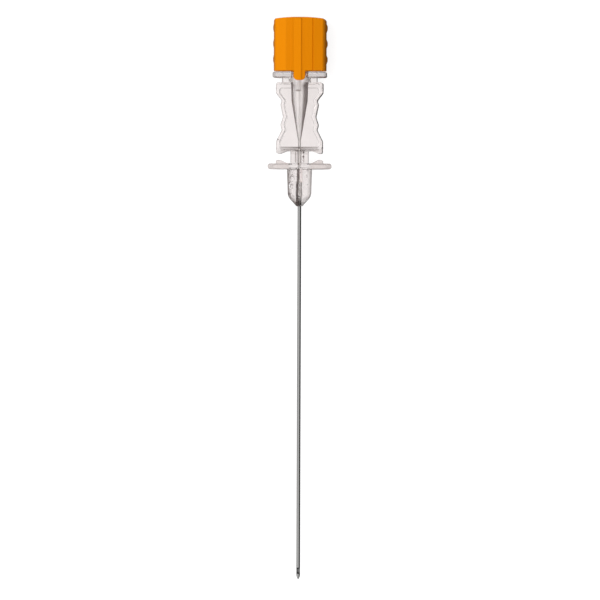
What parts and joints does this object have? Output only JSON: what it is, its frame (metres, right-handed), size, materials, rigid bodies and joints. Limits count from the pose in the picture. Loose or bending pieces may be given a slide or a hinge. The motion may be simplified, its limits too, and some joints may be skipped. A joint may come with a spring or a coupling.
{
  "type": "spinal needle",
  "caption": "Spinal needle with a pencil point and side eye, a clear finger-grip hub with wings and conical socket, and a capped wire stylet.",
  "frame": {"origin": "on the tube's axis, at the end face of the hub's nose where the tube comes out", "axes": "-Y along the tube to its point, +Y to the cap, +Z out of the front, on the side of the key and the side eye"},
  "size_m": [0.0154, 0.1356, 0.0084],
  "materials": {
    "clear_plastic": "clear moulded plastic with a faint pink-grey tint",
    "tube_steel": "drawn stainless tube, lightly polished along its length",
    "cured_glue": "cured clear glue, slightly brown where it is thick",
    "orange_plastic": "opaque orange moulded plastic, soft gloss",
    "wire_steel": "straight drawn stainless wire"
  },
  "bodies": {
    "needle": {"hub": "clear_plastic", "cannula": "tube_steel", "adhesive": "cured_glue"},
    "stylet": {"stylet_cap": "orange_plastic", "stylet_wire": "wire_steel"}
  },
  "joints": [
    {"name": "stylet_slide", "type": "slide", "parent": "needle", "child": "stylet", "axis": [0, 1, 0], "range_m": [0, 0.125]}
  ]
}
